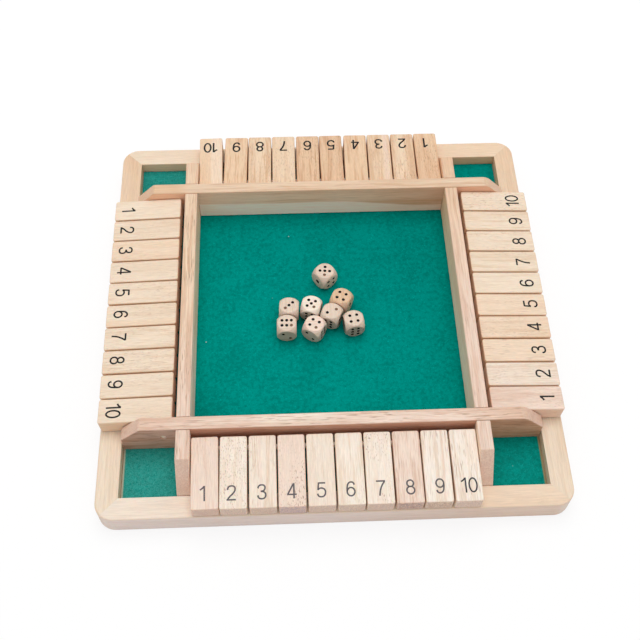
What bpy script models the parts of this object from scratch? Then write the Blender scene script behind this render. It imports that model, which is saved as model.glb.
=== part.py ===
"""A four-sided shut the box game: board, tray walls, hinge rods, forty number tiles and eight dice.

Metres, +Z up. The origin is on the table, under the middle of the board. -Y is the front row's side.
"""
import math

import bmesh
import bpy
from mathutils import Matrix, Vector

# Play between touching pieces, and how far a cutter runs past what it cuts
SEAT_GAP = 0.0003
CUT_OVERRUN = 0.001

# Tray and its four walls
TRAY_SIDE = 0.1806
CROSS_WALL_THICKNESS = 0.0088
SIDE_WALL_THICKNESS = 0.0088
CROSS_WALL_RISE = 0.0196
SIDE_WALL_DROP = 0.0004
CROSS_END_RUN = 0.013
CROSS_END_DROP = 0.0133
CROSS_END_ROUND = 0.003
SIDE_END_RUN = 0.016
WALL_EDGE_ROUND = 0.0005

# Number tiles
TILES_PER_ROW = 10
TILE_GAP = 0.001
TILE_LENGTH = 0.0476
TILE_THICKNESS = 0.0118
TILE_EDGE_ROUND = 0.0006
TILE_CORNER_ROUND = 0.0014
TILE_END_GAP = 0.0031
TILE_SETBACK = 0.0002
TILE_SLOPE = math.radians(2.75)
PIVOT_INSET = 0.0057
PIVOT_HEIGHT = 0.0063

# Hinge rods
ROD_DIAMETER = 0.0035
ROD_PLAY = 0.00035
ROD_RECESS = 0.0006
BLIND_DEPTH = 0.006

# Frame, base board and felt
RAIL_WIDTH = 0.0144
RAIL_HEIGHT = 0.0168
CORNER_RADIUS = 0.012
RAIL_EDGE_ROUND = 0.0009
REBATE_WIDTH = 0.004
BASE_RECESS = 0.0046
BASE_THICKNESS = 0.003
FELT_THICKNESS = 0.001
FELT_SHORT = 0.0005

# Dice
DIE_SIDE = 0.0135
DIE_BALL_DIAMETER = 0.0183
DIE_FACE_LIMIT_SHARE = 0.98
PIP_RADIUS = 0.00095
ONE_PIP_RADIUS = 0.0015
PIP_DEPTH = 0.0005
PIP_STEP = 0.0024
SIX_LONG_STEP = 0.0032
SIX_SHORT_STEP = 0.0020

# How finely round shapes are cut
CORNER_STEPS = 7
EDGE_STEPS = 2
HOLE_SIDES = 12
ROD_SIDES = 16
DIE_FACE_POINTS = 16
PIP_SIDES = 6

# Heights, from the table up
BASE_TOP = BASE_RECESS + BASE_THICKNESS
FELT_TOP = BASE_TOP + SEAT_GAP + FELT_THICKNESS
WALL_BOTTOM = FELT_TOP + SEAT_GAP
CROSS_WALL_TOP = RAIL_HEIGHT + CROSS_WALL_RISE
SIDE_WALL_TOP = CROSS_WALL_TOP - SIDE_WALL_DROP
LAP_HEIGHT = (WALL_BOTTOM + SIDE_WALL_TOP) / 2
TILE_BOTTOM = RAIL_HEIGHT + SEAT_GAP
PIVOT_Z = (TILE_BOTTOM + PIVOT_HEIGHT * math.cos(TILE_SLOPE)
           + (TILE_LENGTH - PIVOT_INSET) * math.sin(TILE_SLOPE))

# Distances from the middle of the board
TRAY_HALF = TRAY_SIDE / 2
CROSS_WALL_MIDDLE = TRAY_HALF + CROSS_WALL_THICKNESS / 2
SIDE_WALL_MIDDLE = TRAY_HALF + SIDE_WALL_THICKNESS / 2
TILE_INNER_END = TRAY_HALF + CROSS_WALL_THICKNESS + TILE_END_GAP
PIVOT_OUT = TILE_INNER_END + PIVOT_INSET
BOARD_HALF = TILE_INNER_END + TILE_LENGTH + TILE_SETBACK
OPENING_HALF = BOARD_HALF - RAIL_WIDTH
WALL_HALF = OPENING_HALF - SEAT_GAP
FELT_HALF = OPENING_HALF - FELT_SHORT
REBATE_HALF = OPENING_HALF + REBATE_WIDTH
BASE_HALF = REBATE_HALF - SEAT_GAP

# Widths that follow from the tray
TILE_PITCH = TRAY_SIDE / TILES_PER_ROW
TILE_WIDTH = TILE_PITCH - TILE_GAP
ROD_RADIUS = ROD_DIAMETER / 2
HOLE_RADIUS = ROD_RADIUS + ROD_PLAY
DIE_HALF = DIE_SIDE / 2

# The four rows in order round the board: name and turn about the middle
ROWS = (("front", 0), ("right", 90), ("back", 180), ("left", 270))

# Each die: name, number on top, number in front, turn in degrees, place in shares of a die's side,
# and the numbers whose pips are laid the other way round
DICE_SHARES = (
    ("die_1", 5, 1, -51, (0.0, 2.08), ()),
    ("die_2", 4, 5, -27, (0.798, 0.489), ()),
    ("die_3", 3, 5, -4, (-1.927, 0.0), ()),
    ("die_4", 5, 6, -15, (-0.777, 0.07), ()),
    ("die_5", 2, 6, -24, (0.254, -0.416), ()),
    ("die_6", 6, 2, -1, (-2.067, -1.06), (6, 2)),
    ("die_7", 4, 2, -30, (-0.656, -1.141), (2,)),
    ("die_8", 4, 6, 8, (1.355, -0.893), ()),
)

# Colours, as the surfaces look in plain light
PALE_WOOD = (0.86, 0.70, 0.54)
TILE_WOOD = (0.88, 0.73, 0.56)
WALL_WOOD = (0.84, 0.67, 0.52)
ROD_WOOD = (0.80, 0.60, 0.45)
DIE_WOOD = (0.84, 0.70, 0.57)
BOARD_WOOD = (0.62, 0.47, 0.33)
FELT_GREEN = (0.003, 0.21, 0.16)


def clear_scene():
    for old in list(bpy.data.objects):
        bpy.data.objects.remove(old)


def plain_material(name, colour, roughness):
    made = bpy.data.materials.new(name)
    made.use_nodes = True
    shader = made.node_tree.nodes["Principled BSDF"]
    shader.inputs["Base Color"].default_value = (*colour, 1)
    shader.inputs["Roughness"].default_value = roughness
    shader.inputs["Metallic"].default_value = 0
    return made


def mesh_from(bm, name):
    bmesh.ops.recalc_face_normals(bm, faces=bm.faces)
    mesh = bpy.data.meshes.new(name)
    bm.to_mesh(mesh)
    bm.free()
    return mesh


def place(name, mesh, material, location=(0, 0, 0), turn=0, slope=0):
    piece = bpy.data.objects.new(name, mesh)
    bpy.context.collection.objects.link(piece)
    piece.location = location
    piece.rotation_euler = (slope, 0, math.radians(turn))
    if not mesh.materials:
        mesh.materials.append(material)
    return piece


def box(low, high):
    """A bmesh box between two opposite corners."""
    bm = bmesh.new()
    bmesh.ops.create_cube(bm, size=1)
    size = Vector(high) - Vector(low)
    bmesh.ops.scale(bm, vec=size, verts=bm.verts)
    bmesh.ops.translate(bm, vec=(Vector(low) + Vector(high)) / 2, verts=bm.verts)
    return bm


def round_bar(radius, start, end, sides, along):
    """A bmesh cylinder along X or Y, from start to end on that axis, centred on the other two."""
    bm = bmesh.new()
    bmesh.ops.create_cone(bm, cap_ends=True, segments=sides, radius1=radius, radius2=radius,
                          depth=end - start)
    bmesh.ops.translate(bm, vec=(0, 0, (start + end) / 2), verts=bm.verts)
    quarter = math.radians(90)
    tip = Matrix.Rotation(quarter, 3, "Y") if along == "X" else Matrix.Rotation(-quarter, 3, "X")
    bmesh.ops.rotate(bm, matrix=tip, verts=bm.verts)
    return bm


def cut(piece, cutter_mesh, name, location=(0, 0, 0)):
    """Takes a shape, placed in the piece's own coordinates, out of the piece."""
    cutter = bpy.data.objects.new(name, cutter_mesh)
    bpy.context.collection.objects.link(cutter)
    cutter.parent = piece
    cutter.location = location
    cutter.hide_render = True
    cutter.display_type = "WIRE"
    boolean = piece.modifiers.new(name, "BOOLEAN")
    boolean.operation = "DIFFERENCE"
    boolean.object = cutter


def smooth_round(mesh):
    mesh.shade_smooth()
    mesh.set_sharp_from_angle(angle=math.radians(40))


def arc_corner(before, corner, after, radius, steps):
    """Points of the arc that rounds one corner of an outline, tangent to both of its sides."""
    into = (Vector(before) - Vector(corner)).normalized()
    out = (Vector(after) - Vector(corner)).normalized()
    half_angle = into.angle(out) / 2
    reach = radius / math.tan(half_angle)
    centre = Vector(corner) + (into + out).normalized() * radius / math.sin(half_angle)
    start = Vector(corner) + into * reach - centre
    sweep = start.angle_signed(Vector(corner) + out * reach - centre)
    return [centre + Matrix.Rotation(-sweep * i / steps, 2) @ start for i in range(steps + 1)]


def extruded(outline, depth):
    """A bmesh prism of an XY outline, from z 0 up to the depth."""
    bm = bmesh.new()
    face = bm.faces.new([bm.verts.new((x, y, 0)) for x, y in outline])
    grown = bmesh.ops.extrude_face_region(bm, geom=[face])
    top = [v for v in grown["geom"] if isinstance(v, bmesh.types.BMVert)]
    bmesh.ops.translate(bm, vec=(0, 0, depth), verts=top)
    bmesh.ops.recalc_face_normals(bm, faces=bm.faces)
    return bm


def rounded_square(half, radius):
    """The outline of a square with round corners."""
    corners = [(-half, -half), (half, -half), (half, half), (-half, half)]
    outline = []
    for i, corner in enumerate(corners):
        outline += arc_corner(corners[i - 1], corner, corners[(i + 1) % len(corners)], radius, CORNER_STEPS)
    return outline


def make_frame(material):
    """Four glued rails: one ring with round outside corners and a rebate below for the base board."""
    bm = extruded(rounded_square(BOARD_HALF, CORNER_RADIUS), RAIL_HEIGHT)
    rim = [e for e in bm.edges if all(v.co.z > RAIL_HEIGHT / 2 for v in e.verts)]
    bmesh.ops.bevel(bm, geom=rim, offset=RAIL_EDGE_ROUND, affect="EDGES", segments=EDGE_STEPS,
                    profile=0.5, material=-1, clamp_overlap=True)
    frame = place("frame", mesh_from(bm, "frame"), material)
    opening = box((-OPENING_HALF, -OPENING_HALF, -CUT_OVERRUN),
                  (OPENING_HALF, OPENING_HALF, RAIL_HEIGHT + CUT_OVERRUN))
    cut(frame, mesh_from(opening, "opening"), "frame_opening")
    rebate = box((-REBATE_HALF, -REBATE_HALF, -CUT_OVERRUN), (REBATE_HALF, REBATE_HALF, BASE_TOP + SEAT_GAP))
    cut(frame, mesh_from(rebate, "rebate"), "frame_rebate")


def make_base_board(material):
    bm = box((-BASE_HALF, -BASE_HALF, BASE_RECESS), (BASE_HALF, BASE_HALF, BASE_TOP))
    place("base_board", mesh_from(bm, "base_board"), material)


def make_felt(material):
    bm = box((-FELT_HALF, -FELT_HALF, BASE_TOP + SEAT_GAP), (FELT_HALF, FELT_HALF, FELT_TOP))
    place("felt", mesh_from(bm, "felt"), material)


def cross_wall_outline():
    """Side view of a front or back wall: a flat top that turns down in a soft chamfer at each end."""
    chamfer_z = CROSS_WALL_TOP - CROSS_END_DROP
    flat_x = WALL_HALF - CROSS_END_RUN
    left_end = (-WALL_HALF, chamfer_z)
    right_end = (WALL_HALF, chamfer_z)
    right_break = arc_corner(right_end, (flat_x, CROSS_WALL_TOP), (0, CROSS_WALL_TOP),
                             CROSS_END_ROUND, EDGE_STEPS)
    left_break = arc_corner((0, CROSS_WALL_TOP), (-flat_x, CROSS_WALL_TOP), left_end,
                            CROSS_END_ROUND, EDGE_STEPS)
    return [(-WALL_HALF, WALL_BOTTOM), (WALL_HALF, WALL_BOTTOM), right_end,
            *right_break, *left_break, left_end]


def side_wall_outline():
    """Side view of a left or right wall: a flat top with a straight slope down to the rail at each end."""
    flat_x = WALL_HALF - SIDE_END_RUN
    return [(-WALL_HALF, WALL_BOTTOM), (WALL_HALF, WALL_BOTTOM), (WALL_HALF, RAIL_HEIGHT),
            (flat_x, SIDE_WALL_TOP), (-flat_x, SIDE_WALL_TOP), (-WALL_HALF, RAIL_HEIGHT)]


def wall_mesh(name, outline, thickness):
    """The outline stood up along X, as thick as the wall, with its edges eased."""
    bm = extruded(outline, thickness)
    bmesh.ops.translate(bm, vec=(0, 0, -thickness / 2), verts=bm.verts)
    bmesh.ops.rotate(bm, matrix=Matrix.Rotation(math.radians(90), 3, "X"), verts=bm.verts)
    sharp = [e for e in bm.edges if e.calc_face_angle() > math.radians(60)]
    bmesh.ops.bevel(bm, geom=sharp, offset=WALL_EDGE_ROUND, affect="EDGES", segments=1,
                    profile=0.5, material=-1, clamp_overlap=True)
    return mesh_from(bm, name)


def cut_rod_holes(wall, thickness):
    """A wall end holds one rod in a through hole, at its right, and one in a blind hole, at its left.

    Seen from outside the tray, where the wall's own +Y is the way in.
    """
    outside = -thickness / 2 - CUT_OVERRUN
    inside = thickness / 2 + CUT_OVERRUN
    through = round_bar(HOLE_RADIUS, outside, inside, HOLE_SIDES, "Y")
    blind = round_bar(HOLE_RADIUS, thickness / 2 - BLIND_DEPTH, inside, HOLE_SIDES, "Y")
    cut(wall, mesh_from(through, "through"), wall.name + "_through_hole", (-PIVOT_OUT, 0, PIVOT_Z))
    cut(wall, mesh_from(blind, "blind"), wall.name + "_blind_hole", (PIVOT_OUT, 0, PIVOT_Z))


def cut_laps(wall, other_middle, other_thickness, low, high, own_thickness):
    """Two notches, each as wide as the wall that crosses there."""
    half_width = other_thickness / 2 + SEAT_GAP
    half_depth = own_thickness / 2 + CUT_OVERRUN
    for side, word in ((-1, "left"), (1, "right")):
        notch = box((-half_width, -half_depth, low), (half_width, half_depth, high))
        cut(wall, mesh_from(notch, "notch"), f"{wall.name}_{word}_notch", (side * other_middle, 0, 0))


def make_walls(material):
    """Front and back walls run over the lap joints, left and right walls run under them."""
    cross = cross_wall_outline()
    side = side_wall_outline()
    for name, turn in ROWS:
        angle = math.radians(turn)
        outward = Vector((math.sin(angle), -math.cos(angle), 0))
        if name in ("front", "back"):
            mesh = wall_mesh(name + "_wall", cross, CROSS_WALL_THICKNESS)
            wall = place(name + "_wall", mesh, material, outward * CROSS_WALL_MIDDLE, turn)
            cut_rod_holes(wall, CROSS_WALL_THICKNESS)
            cut_laps(wall, SIDE_WALL_MIDDLE, SIDE_WALL_THICKNESS, WALL_BOTTOM - CUT_OVERRUN,
                     LAP_HEIGHT + SEAT_GAP / 2, CROSS_WALL_THICKNESS)
        else:
            mesh = wall_mesh(name + "_wall", side, SIDE_WALL_THICKNESS)
            wall = place(name + "_wall", mesh, material, outward * SIDE_WALL_MIDDLE, turn)
            cut_rod_holes(wall, SIDE_WALL_THICKNESS)
            cut_laps(wall, CROSS_WALL_MIDDLE, CROSS_WALL_THICKNESS, LAP_HEIGHT - SEAT_GAP / 2,
                     SIDE_WALL_TOP + CUT_OVERRUN, SIDE_WALL_THICKNESS)


def tile_mesh():
    """One tile lying level, its rod hole on the X axis and its free end towards -Y."""
    low = (-TILE_WIDTH / 2, PIVOT_INSET - TILE_LENGTH, -PIVOT_HEIGHT)
    high = (TILE_WIDTH / 2, PIVOT_INSET, TILE_THICKNESS - PIVOT_HEIGHT)
    bm = box(low, high)
    upright = [e for e in bm.edges if abs(e.verts[0].co.z - e.verts[1].co.z) > TILE_THICKNESS / 2]
    bmesh.ops.bevel(bm, geom=upright, offset=TILE_CORNER_ROUND, affect="EDGES", segments=EDGE_STEPS,
                    profile=0.5, material=-1, clamp_overlap=True)
    rims = [e for e in bm.edges if e.calc_face_angle() > math.radians(60)]
    bmesh.ops.bevel(bm, geom=rims, offset=TILE_EDGE_ROUND, affect="EDGES", segments=1,
                    profile=0.5, material=-1, clamp_overlap=True)
    return mesh_from(bm, "tile")


def make_row(name, turn, tile, tile_material, rod_material):
    """Ten tiles and their rod, built along the front and turned to their side of the board.

    The tiles slope down from the rod until their free ends rest on the rail.
    """
    turned = Matrix.Rotation(math.radians(turn), 3, "Z")
    half_hole = TILE_WIDTH / 2 + CUT_OVERRUN
    bore = mesh_from(round_bar(HOLE_RADIUS, -half_hole, half_hole, HOLE_SIDES, "X"), "bore")
    for i in range(TILES_PER_ROW):
        along = (i + 0.5) * TILE_PITCH - TRAY_HALF
        spot = turned @ Vector((along, -PIVOT_OUT, PIVOT_Z))
        piece = place(f"{name}_tile_{i + 1}", tile, tile_material, spot, turn, TILE_SLOPE)
        cut(piece, bore, f"{piece.name}_rod_hole")
    held_by = SIDE_WALL_THICKNESS if name in ("front", "back") else CROSS_WALL_THICKNESS
    blind_end = -TRAY_HALF - BLIND_DEPTH + SEAT_GAP
    open_end = TRAY_HALF + held_by - ROD_RECESS
    rod = mesh_from(round_bar(ROD_RADIUS, blind_end, open_end, ROD_SIDES, "X"), name + "_rod")
    smooth_round(rod)
    place(name + "_rod", rod, rod_material, turned @ Vector((0, -PIVOT_OUT, PIVOT_Z)), turn)


def die_body():
    """A cube cut round by a ball: six flat discs joined by the ball's surface."""
    ball = DIE_BALL_DIAMETER / 2
    disc = min(math.sqrt(ball ** 2 - DIE_HALF ** 2), DIE_HALF * DIE_FACE_LIMIT_SHARE)
    bm = bmesh.new()
    for face in face_turns().values():
        for i in range(DIE_FACE_POINTS):
            angle = 2 * math.pi * (i + 0.5) / DIE_FACE_POINTS
            bm.verts.new(face @ Vector((disc * math.cos(angle), disc * math.sin(angle), DIE_HALF)))
    corner = min(ball / math.sqrt(3), DIE_HALF)
    for x in (-corner, corner):
        for y in (-corner, corner):
            for z in (-corner, corner):
                bm.verts.new((x, y, z))
    bmesh.ops.convex_hull(bm, input=bm.verts)
    return bm


def face_turns():
    """Turns that carry a pattern drawn on the top face to each face, upright as seen from outside."""
    tip_front = Matrix.Rotation(math.radians(90), 3, "X")
    turns = {"top": Matrix.Identity(3), "bottom": Matrix.Rotation(math.radians(180), 3, "X")}
    for word, angle in (("front", 0), ("right", 90), ("back", 180), ("left", 270)):
        turns[word] = Matrix.Rotation(math.radians(angle), 3, "Z") @ tip_front
    return turns


def pip_places(number, other_way):
    """Pip centres on one face, as (x, y) from its middle."""
    step = PIP_STEP
    diagonal = [(-step, -step), (step, step)]
    crossing = [(-step, step), (step, -step)]
    middle = [(0, 0)]
    columns = [(x, y) for x in (-SIX_SHORT_STEP, SIX_SHORT_STEP) for y in (-SIX_LONG_STEP, 0, SIX_LONG_STEP)]
    places = {1: middle, 2: diagonal, 3: diagonal + middle, 4: diagonal + crossing,
              5: diagonal + crossing + middle, 6: columns}[number]
    return [(-y, x) for x, y in places] if other_way else places


def faces_of_die(top, front):
    """The number on each face: opposite faces add up to seven, and 1, 2, 3 run clockwise."""
    pair_sum = 7
    spare = [n for n in range(1, pair_sum) if n not in (top, front, pair_sum - top, pair_sum - front)]
    for right in spare:
        towards = {top: Vector((0, 0, 1)), front: Vector((0, -1, 0)), right: Vector((1, 0, 0))}
        towards.update({pair_sum - number: -way for number, way in towards.items()})
        if towards[1].cross(towards[2]).dot(towards[3]) < 0:
            break
    return {"top": top, "bottom": pair_sum - top, "front": front, "back": pair_sum - front,
            "right": right, "left": pair_sum - right}


def pips_cutter(top, front, other_way):
    """All the pips of a die as one cutter: a shallow cone for each."""
    bm = bmesh.new()
    turns = face_turns()
    for word, number in faces_of_die(top, front).items():
        radius = ONE_PIP_RADIUS if number == 1 else PIP_RADIUS
        height = PIP_DEPTH + CUT_OVERRUN
        for x, y in pip_places(number, number in other_way):
            cone = bmesh.ops.create_cone(bm, cap_ends=True, segments=PIP_SIDES, radius1=0,
                                         radius2=radius * height / PIP_DEPTH, depth=height)
            bmesh.ops.translate(bm, vec=(x, y, DIE_HALF - PIP_DEPTH + height / 2), verts=cone["verts"])
            bmesh.ops.rotate(bm, matrix=turns[word], verts=cone["verts"])
    return mesh_from(bm, "pips")


def make_dice(material):
    """Eight dice where the throw left them on the felt."""
    for name, top, front, turn, (x_share, y_share), other_way in DICE_SHARES:
        spot = (x_share * DIE_SIDE, y_share * DIE_SIDE, FELT_TOP + SEAT_GAP + DIE_HALF)
        mesh = mesh_from(die_body(), name)
        smooth_round(mesh)
        die = place(name, mesh, material, spot, turn)
        cut(die, pips_cutter(top, front, other_way), name + "_pips")


def main():
    clear_scene()
    make_frame(plain_material("rail_wood", PALE_WOOD, 0.55))
    make_base_board(plain_material("board_wood", BOARD_WOOD, 0.7))
    make_felt(plain_material("felt", FELT_GREEN, 0.95))
    make_walls(plain_material("wall_wood", WALL_WOOD, 0.55))
    tile = tile_mesh()
    tile_material = plain_material("tile_wood", TILE_WOOD, 0.5)
    rod_material = plain_material("rod_wood", ROD_WOOD, 0.6)
    for name, turn in ROWS:
        make_row(name, turn, tile, tile_material, rod_material)
    make_dice(plain_material("die_wood", DIE_WOOD, 0.5))


main()
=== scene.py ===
# %% [markdown]
# # Shut the box: a square board with four rows of number tiles
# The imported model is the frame: it says where each piece is and how it moves. This script dresses
# it. Each step has one of these notes first, which says what the piece is on the real board, how it
# could be made in Blender, and why this way was chosen. Lengths are in metres, +Z is up, and the
# player at the front row sits towards -Y.

# %% Load the frame and keep its size
import math

import bmesh
import bpy
from mathutils import Matrix, Vector


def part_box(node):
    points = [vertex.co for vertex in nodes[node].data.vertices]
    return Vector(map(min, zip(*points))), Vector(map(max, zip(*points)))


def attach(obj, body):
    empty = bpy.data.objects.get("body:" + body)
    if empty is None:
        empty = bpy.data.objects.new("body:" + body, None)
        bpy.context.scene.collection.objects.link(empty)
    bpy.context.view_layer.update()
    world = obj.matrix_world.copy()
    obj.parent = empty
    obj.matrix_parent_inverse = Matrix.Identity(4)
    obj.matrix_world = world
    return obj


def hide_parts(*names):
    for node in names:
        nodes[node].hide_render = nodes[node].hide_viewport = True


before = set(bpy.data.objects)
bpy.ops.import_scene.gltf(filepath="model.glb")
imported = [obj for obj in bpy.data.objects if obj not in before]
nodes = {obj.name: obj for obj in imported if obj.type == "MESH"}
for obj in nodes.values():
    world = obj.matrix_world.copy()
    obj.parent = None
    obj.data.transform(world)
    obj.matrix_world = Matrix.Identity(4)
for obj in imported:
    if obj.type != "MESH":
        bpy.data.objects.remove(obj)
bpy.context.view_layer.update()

MM = 0.001

# %% [markdown]
# ## Camera
# The photograph looks down on the board from the front, a little from the left, with a small roll.
# The angles, distance and lens come from fitting the board's corners to the picture, so the camera
# is set by numbers. A Track To constraint would be quicker to write, but it can't hold the roll.

# %% Camera
AIM = Vector((-4.235, 1.341, 0.0)) * MM
DISTANCE = 709.280 * MM
YAW, ELEVATION, ROLL = (math.radians(a) for a in (-3.208, 57.950, -1.109))
LENS, SENSOR = 55.992, 36.0
CLIP_START = 10 * MM

back_way = Vector((math.sin(YAW) * math.cos(ELEVATION), -math.cos(YAW) * math.cos(ELEVATION),
                   math.sin(ELEVATION)))
right_way = Vector((0, 0, 1)).cross(back_way).normalized()
up_way = back_way.cross(right_way)
turned_right = math.cos(ROLL) * right_way - math.sin(ROLL) * up_way
turned_up = math.sin(ROLL) * right_way + math.cos(ROLL) * up_way
eye = AIM + back_way * DISTANCE


def in_scene(name, data):
    """A new object in the scene, made of this mesh, camera, lamp or curve."""
    made = bpy.data.objects.new(name, data)
    bpy.context.scene.collection.objects.link(made)
    return made


lens = bpy.data.cameras.new("camera")
lens.lens, lens.sensor_width, lens.sensor_fit = LENS, SENSOR, "HORIZONTAL"
lens.clip_start = CLIP_START
camera = in_scene("camera", lens)
camera.matrix_world = Matrix((
    (turned_right.x, turned_up.x, back_way.x, eye.x),
    (turned_right.y, turned_up.y, back_way.y, eye.y),
    (turned_right.z, turned_up.z, back_way.z, eye.z),
    (0, 0, 0, 1)))
bpy.context.scene.camera = camera
bpy.context.scene.view_settings.view_transform = "Standard"
print("camera at", [round(v, 4) for v in eye])

# %% [markdown]
# ## Node helpers
# Every finish below is a small network of shader nodes. Writing out each link by hand makes long
# code, so a few helpers add a node, set its values and return the socket that the next one needs.

# %% Node helpers
def new_finish(name):
    """An empty material with its Principled shader: (material, node tree, shader)."""
    material = bpy.data.materials.new(name)
    material.use_nodes = True
    tree = material.node_tree
    return material, tree, tree.nodes["Principled BSDF"]


def plug(tree, socket, value):
    """Sets a socket to a number or colour, or links another socket to it."""
    if isinstance(value, bpy.types.NodeSocket):
        tree.links.new(value, socket)
    elif isinstance(value, (tuple, list)) and len(value) == 3 and socket.type == "RGBA":
        socket.default_value = (*value, 1)
    else:
        socket.default_value = value


def maths(tree, operation, a, b=0.0, clamp=False):
    """One sum, such as ADD or ABSOLUTE, on numbers or sockets."""
    node = tree.nodes.new("ShaderNodeMath")
    node.operation, node.use_clamp = operation, clamp
    plug(tree, node.inputs[0], a)
    plug(tree, node.inputs[1], b)
    return node.outputs[0]


def times(tree, a, b, clamp=False):
    """Two numbers or sockets multiplied."""
    return maths(tree, "MULTIPLY", a, b, clamp)


def blended(tree, share, a, b, blend_type="MIX"):
    """Colour a turned into colour b by a share from 0 to 1."""
    node = tree.nodes.new("ShaderNodeMix")
    node.data_type, node.blend_type = "RGBA", blend_type
    plug(tree, node.inputs[0], share)
    plug(tree, node.inputs[6], a)
    plug(tree, node.inputs[7], b)
    return node.outputs[2]


def stepped(tree, value, low, high, out_low=0.0, out_high=1.0):
    """A smooth ramp: out_low below low, out_high above high."""
    node = tree.nodes.new("ShaderNodeMapRange")
    node.interpolation_type = "SMOOTHSTEP"
    for socket, number in zip(node.inputs, (value, low, high, out_low, out_high)):
        plug(tree, socket, number)
    return node.outputs[0]


def noise(tree, vector, detail, roughness, distortion=0.0, scale=1.0, output="Fac"):
    """Cloudy noise with values round a half. It repeats scale times in a unit of the vector."""
    node = tree.nodes.new("ShaderNodeTexNoise")
    tree.links.new(vector, node.inputs["Vector"])
    node.inputs["Scale"].default_value = scale
    node.inputs["Detail"].default_value = detail
    node.inputs["Roughness"].default_value = roughness
    node.inputs["Distortion"].default_value = distortion
    return node.outputs[output]


def stretched(tree, vector, scale, shift):
    """The same place on a pattern that is stretched by axis and moved, so that pieces differ."""
    node = tree.nodes.new("ShaderNodeMapping")
    tree.links.new(vector, node.inputs["Vector"])
    node.inputs["Scale"].default_value = scale
    node.inputs["Location"].default_value = shift
    return node.outputs[0]


def object_place(tree):
    """The place on the piece, in metres."""
    return tree.nodes.new("ShaderNodeTexCoord").outputs["Object"]


def by_axis(tree, vector):
    """A place or direction split into X, Y and Z."""
    node = tree.nodes.new("ShaderNodeSeparateXYZ")
    tree.links.new(vector, node.inputs[0])
    return node.outputs


def brightened(tree, colour, amount):
    """A colour times one number for its red, green and blue."""
    grey = tree.nodes.new("ShaderNodeCombineColor")
    for socket in grey.inputs:
        tree.links.new(amount, socket)
    return blended(tree, 1.0, colour, grey.outputs[0], "MULTIPLY")


def embossed(tree, shader, height, strength, depth):
    """Gives the surface the fine relief of a pattern."""
    bump = tree.nodes.new("ShaderNodeBump")
    bump.inputs["Strength"].default_value = strength
    bump.inputs["Distance"].default_value = depth
    tree.links.new(height, bump.inputs["Height"])
    tree.links.new(bump.outputs[0], shader.inputs["Normal"])


print("node helpers ready")

# %% [markdown]
# ## Wood
# All the wood is rubberwood, sanded and left almost bare: cream to pinkish, with long soft streaks,
# fine fibres and short brown pores, and a darker speckle where the grain ends. A photo texture would
# be the usual way. Here the grain is stretched noise on Object coordinates, long along the piece and
# narrow across it, because noise in three dimensions runs round an edge as real grain does and shows
# the speckle of end grain by itself. Each piece gets its own shift, tone and amount of pores. Its
# upright faces also get painted light and shade: most are drawn darker and redder than the tops, and
# the back and side walls of the tray lighter. The mesh attribute "edge" marks the rounded edges, which
# are drawn a little towards the deeper tone and made a little smoother.

# %% Wood tones
MILK = (0.935, 0.830, 0.725)
IVORY = (0.918, 0.806, 0.692)
PEARL = (0.890, 0.766, 0.645)
CREAM = (0.860, 0.712, 0.558)
SAND = (0.860, 0.680, 0.515)
BLUSH = (0.870, 0.705, 0.590)
ROSE = (0.820, 0.620, 0.490)
HONEY = (0.830, 0.635, 0.455)
PEACH = (0.815, 0.590, 0.395)
AMBER = (0.765, 0.530, 0.345)
OAT = (0.790, 0.600, 0.435)
BISCUIT = (0.765, 0.615, 0.495)
CLAY = (0.785, 0.565, 0.430)
DEEPER = {MILK: (0.830, 0.680, 0.545), IVORY: (0.822, 0.662, 0.515), PEARL: (0.794, 0.625, 0.485),
          CREAM: (0.760, 0.575, 0.410), SAND: (0.770, 0.560, 0.395),
          BLUSH: (0.745, 0.525, 0.405), ROSE: (0.680, 0.440, 0.320), HONEY: (0.700, 0.465, 0.290),
          PEACH: (0.680, 0.420, 0.250), AMBER: (0.590, 0.330, 0.185), CLAY: (0.620, 0.390, 0.270),
          OAT: (0.665, 0.440, 0.280), BISCUIT: (0.640, 0.470, 0.350)}
PORE = (0.400, 0.235, 0.150)
END_GRAIN = (0.630, 0.455, 0.385)
# Painted shade: by default, upright faces are drawn darker and redder than the tops.
PAINTED_SIDE_SHADE = (0.98, 0.86, 0.77)
AXES = {"X": 0, "Y": 1, "Z": 2}
print("wood tones:", len(DEEPER))


# %% Wood patterns
# How often the grain's bends repeat in a metre along and across it, and how far they go.
BENDS, BEND_REACH = (14, 38), 4.5 * MM
# The noises: repeats in a metre along the grain and across it, detail and roughness.
WIDE, STREAK, THIN = (7, 75, 2.0, 0.55), (9, 330, 3.0, 0.6), (28, 900, 2.0, 0.6)
FIBRE, PATCH, SPECK = (90, 2600, 2.0, 0.6), (25, 60, 1.0, 0.5), (1150, 1150, 2.0, 0.7)
# Pores lie closer across the grain than along it, where each finish has its own number of repeats.
PORES_ACROSS, USUAL_DASHES = 1900, 330


def wood_patterns(tree, spot, grain, seed, dashes):
    """The place on the piece, bent as its grain is, and the noises of its wood by name."""
    shift = (seed * 3.71 % 97, seed * 5.13 % 89, seed * 7.97 % 83)

    def pattern(place, along, across, detail, roughness, output="Fac"):
        """One noise, drawn out along the grain."""
        scale = [across, across, across]
        scale[AXES[grain]] = along
        return noise(tree, stretched(tree, place, scale, shift), detail, roughness, output=output)

    bent = tree.nodes.new("ShaderNodeVectorMath")
    bent.operation = "MULTIPLY_ADD"
    tree.links.new(pattern(spot, *BENDS, 1.0, 0.5, "Color"), bent.inputs[0])
    bent.inputs[1].default_value = (BEND_REACH,) * 3
    tree.links.new(spot, bent.inputs[2])
    wavy = bent.outputs[0]
    return wavy, {"wide": pattern(wavy, *WIDE), "streak": pattern(wavy, *STREAK),
                  "thin": pattern(wavy, *THIN), "fibre": pattern(spot, *FIBRE),
                  "dash": pattern(spot, dashes, PORES_ACROSS, 1.0, 0.4),
                  "patch": pattern(spot, *PATCH), "speck": pattern(spot, *SPECK)}


print("wood patterns ready")


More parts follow.
